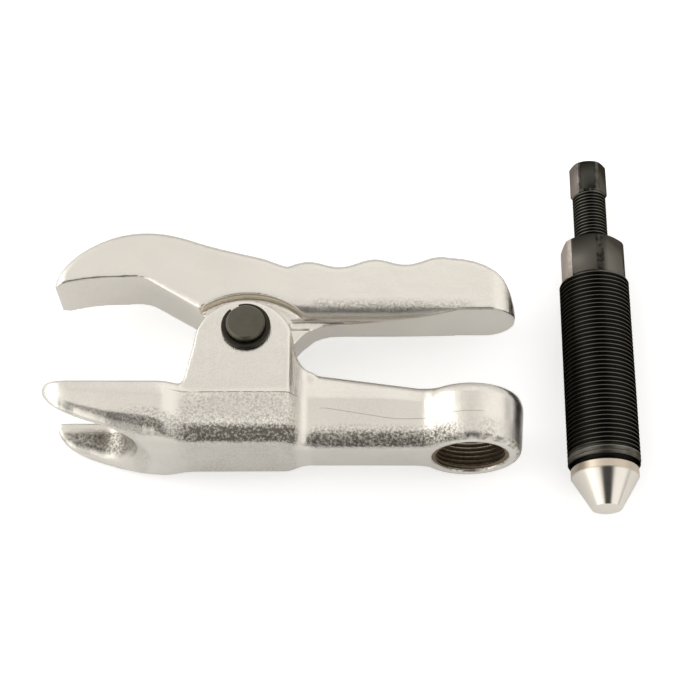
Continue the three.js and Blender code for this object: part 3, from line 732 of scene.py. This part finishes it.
def paint_barrel(place):
    along, out = along_and_out(place)
    # The crests are rubbed and carry a painted highlight, dimmer on the left.
    wear_and_highlight = step(out, 14.02 * MM, 14.18 * MM) * step(along, 1.5 * MM, 5 * MM)
    # A painted glint, patchy like rubbing, in a band near the mouth.
    rubbed_glint = 0.16 + 0.6 * noise(place, 260, 2)
    mouth_glint = step(along, 6 * MM, 4.5 * MM) * step(along, 1.3 * MM, 2.1 * MM) * rubbed_glint
    across = across_spindle(place)
    # The left corner strip of the hexagon gets a painted sheen, and it is bare steel too.
    left = step(across, -9.7 * MM, -10.1 * MM) * step(along, BARREL_HEX - 0.4 * MM, BARREL_HEX)
    lit = wear_and_highlight * (0.50 - 0.30 * step(across, -3 * MM, -11 * MM))
    flats = hexagon(place, along, BARREL_HEX, out, 13.2 * MM)
    return browned(place, lit + mouth_glint + flats + 0.62 * left, left)


def paint_screw(place):
    along, out = along_and_out(place)
    thread = step(along, SCREW_HEX - 0.2 * MM, SCREW_HEX - 0.6 * MM)
    # The crests are rubbed and carry a painted highlight.
    wear_and_highlight = step(out, 6.76 * MM, 6.92 * MM) * thread
    # The left side of the hexagon gets a painted sheen, and it is bare steel too.
    left = step(across_spindle(place), -4.6 * MM, -5.2 * MM) * (1 - thread)
    flats = hexagon(place, along, SCREW_HEX, out, 7.65 * MM) * 0.7
    return browned(place, wear_and_highlight * 0.50 + flats + 0.24 * left, left)


def paint_bronzed(place):
    grain = noise(place, 500, 3)
    return {
        "Base Color": blend(grain, hue(0.10, 0.07, 0.042), hue(0.22, 0.17, 0.11)),
        "Metallic": 1.0,
        "Roughness": 0.42,
        "Normal": bump(grain, 0.3, 0.08 * MM),
    }


barrel_steel = finish("browned_barrel", paint_barrel)
screw_steel = finish("browned_screw", paint_screw)
bore_steel = finish("bronzed_bore", paint_bronzed)
dressed(barrel, "spindle", "spindle_body", barrel_steel)
dressed(screw, "screw", "feed_screw", screw_steel)
dressed(boss_thread, "frame", None, bore_steel)

# %% [markdown]
# ## Turned pieces
#
# The ram's cone, the cross pin and the snap rings come from a lathe. A circle is extruded and
# scaled from step to step along its axis, which is exactly what a turned profile is.


# %% A profile turned from a circle
def turned(name, profile, matrix, steps):
    """profile is a list of (radius, height); the first and last rings are filled."""
    first_radius, first_height = profile[0]
    bpy.ops.mesh.primitive_circle_add(
        vertices=steps, radius=first_radius, fill_type="NGON", location=(0, 0, first_height)
    )
    piece = bpy.context.object
    piece.name = name
    bpy.ops.object.transform_apply()
    edit(piece)
    for (radius, height), (wide, high) in zip(profile, profile[1:]):
        bpy.ops.mesh.extrude_region_move(
            TRANSFORM_OT_translate={"value": (0, 0, high - height)}
        )
        grow = wide / radius
        bpy.ops.transform.resize(value=(grow, grow, 1), center_override=(0, 0, 0))
    bpy.ops.mesh.select_all(action="SELECT")
    bpy.ops.mesh.normals_make_consistent(inside=False)
    done()
    place_at(piece, matrix)
    crisp(piece)
    return piece


# %% The ram: dome, cone, collar, neck and a piston with two grooves
PISTON = 10


def groove(low, high, bottom):
    return [(PISTON, low), (bottom, low), (bottom, high), (PISTON, high)]


def in_metres(profile):
    """Profiles are lists of (radius, height) in millimetres, as on a drawing."""
    return [(radius * MM, height * MM) for radius, height in profile]


DOME = 14.04
DOME_CENTRE = -3.66
DOME_ANGLES = (0.07, 0.16, 0.25, 0.34, 0.41)
dome = [(DOME * math.sin(a), DOME_CENTRE - DOME * math.cos(a)) for a in DOME_ANGLES]
cone = [(5.9, -16.4), (13.0, -3.98), (13.2, -3.7), (13.2, -0.8), (12.7, -0.3), (8.4, -0.3)]
neck = [(8.4, 9.4), (9.6, 9.4), (PISTON, 9.8)]
piston = [*groove(10.6, 14.2, 8.5), *groove(15.4, 19.5, 8), (PISTON, 20.6), (9.2, 21.4)]
ram = turned("press_cone", in_metres(dome + cone + neck + piston), SPINDLE, steps=128)

# %% Cross pin and snap rings
PIN_PLACE = Matrix.Translation(PIN)
half_pin = [(7.5, 19.5), (6.8, 19.5), (6.8, 21.6), (7.5, 21.6), (7.5, 23.5), (7.3, 23.9), (6.6, 24.5)]
other_half = [(radius, -height) for radius, height in reversed(half_pin)]
pin = turned("cross_pin", in_metres(other_half + half_pin), PIN_PLACE, steps=72)


RING_RADIUS = 8.3 * MM
RING_WIDTH = 2.4 * MM
RING_THICKNESS = 1.5 * MM
RING_HEIGHT = 20.55 * MM
RING_START = math.radians(131)
RING_SWEEP = math.radians(338)


def snap_ring(name, height):
    """A flat ring, open at the upper left, with softened edges."""
    bpy.ops.mesh.primitive_plane_add(size=1, rotation=(math.radians(90), 0, 0))
    piece = bpy.context.object
    piece.name = name
    piece.scale = (RING_WIDTH, RING_THICKNESS, 1)
    piece.location = (RING_RADIUS, 0, height)
    bpy.ops.object.transform_apply()
    only(piece)
    piece.rotation_euler.z = RING_START
    bpy.ops.object.transform_apply()
    edit(piece)
    bpy.ops.mesh.spin(
        steps=72, angle=-RING_SWEEP, center=(0, 0, 0), axis=(0, 0, 1), dupli=False
    )
    bpy.ops.mesh.select_all(action="SELECT")
    bpy.ops.mesh.normals_make_consistent(inside=False)
    done()
    apply(piece, "BEVEL", width=0.22 * MM, segments=2, limit_method="ANGLE")
    place_at(piece, PIN_PLACE)
    crisp(piece)
    return piece


front_ring = snap_ring("snap_ring_front", RING_HEIGHT)
rear_ring = snap_ring("snap_ring_rear", -RING_HEIGHT)

# %% [markdown]
# ## Finishes of the turned and small pieces
#
# The cone is ground bright and shows fine turning rings. The pin and its rings are blackened.
# The pieces inside the spindle are never seen closed, yet each gets its real finish too, for a
# view with the barrel taken away.


# %% Turned steel
def paint_cone(place):
    along = along_and_out(place)[0]
    rings = wave(along * 5200)
    fine = wave(along * 17000)
    stain = noise(place, 80, 3)
    ground = blend(stain, hue(0.80, 0.76, 0.70), hue(0.70, 0.655, 0.585))
    collar = step(along, -4.4 * MM, -3.6 * MM)
    return {
        "Base Color": blend(collar, ground, hue(0.56, 0.49, 0.40)),
        "Metallic": 1.0,
        "Roughness": 0.13 + 0.08 * stain + 0.22 * collar,
        "Normal": bump(rings * 0.5 + fine * 0.3, 0.30, 0.02 * MM),
    }


def paint_pin(place):
    from_axis = place.node("VectorMath", {"operation": "SUBTRACT"}, {0: place, 1: PIN[:]})
    cloud = noise(from_axis, 180, 3)
    grain = noise(place, 900, 3)
    return {
        "Base Color": blend(cloud, hue(0.085, 0.080, 0.062), hue(0.135, 0.125, 0.100)),
        "Metallic": 1.0,
        "Roughness": 0.38 + 0.12 * (grain - 0.5),
        "Normal": bump(grain, 0.3, 0.06 * MM),
    }


def paint_ring(place):
    grain = noise(place, 800, 3)
    return {
        "Base Color": blend(grain, hue(0.024, 0.022, 0.017), hue(0.050, 0.046, 0.037)),
        "Metallic": 1.0,
        "Roughness": 0.36 + 0.10 * grain,
        "Normal": bump(grain, 0.25, 0.06 * MM),
    }


def paint_ground(place):
    along = along_and_out(place)[0]
    rings = wave(along * 9000)
    cloud = noise(place, 150, 2)
    return {
        "Base Color": blend(cloud, hue(0.60, 0.58, 0.55), hue(0.68, 0.66, 0.62)),
        "Metallic": 1.0,
        "Roughness": 0.18 + 0.08 * cloud,
        "Normal": bump(rings, 0.2, 0.01 * MM),
    }


def paint_ball(place):
    cloud = noise(place, 300, 2)
    return {
        "Base Color": blend(cloud, hue(0.70, 0.70, 0.69), hue(0.64, 0.64, 0.63)),
        "Metallic": 1.0,
        "Roughness": 0.08 + 0.05 * cloud,
    }


def paint_rubber(place):
    grain = noise(place, 1500, 2)
    return {
        "Base Color": blend(grain, hue(0.018, 0.018, 0.018), hue(0.030, 0.029, 0.028)),
        "Roughness": 0.62 + 0.15 * grain,
        "Normal": bump(grain, 0.2, 0.03 * MM),
    }


def paint_plastic(place):
    grain = noise(place, 900, 2)
    return {
        "Base Color": blend(grain, hue(0.80, 0.78, 0.70), hue(0.86, 0.84, 0.78)),
        "Roughness": 0.42 + 0.12 * grain,
        "Normal": bump(grain, 0.15, 0.03 * MM),
    }


dressed(ram, "press_ram", "ram", finish("turned_cone", paint_cone))
dressed(pin, "pin", "pivot_pin", finish("blackened_pin", paint_pin))
ring_black = finish("blackened_ring", paint_ring)
dressed(front_ring, "pin", "pivot_ring_front", ring_black)
dressed(rear_ring, "pin", "pivot_ring_rear", ring_black)

# %% Pieces inside the spindle keep their solids and get a finish
INNER = {
    "ram_retaining_ring": finish("spring_steel", paint_ring),
    "plunger": finish("ground_steel", paint_ground),
    "thrust_ball": finish("ball_steel", paint_ball),
    "plunger_seal": finish("seal_rubber", paint_rubber),
    "plunger_backup_ring": finish("seal_plastic", paint_plastic),
}
INNER["ram_seal"] = INNER["plunger_seal"]
INNER["ram_backup_ring"] = INNER["ram_guide_ring"] = INNER["plunger_backup_ring"]

for node, material in INNER.items():
    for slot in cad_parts[node].material_slots:
        slot.material = material
print("inner pieces:", ", ".join(INNER))
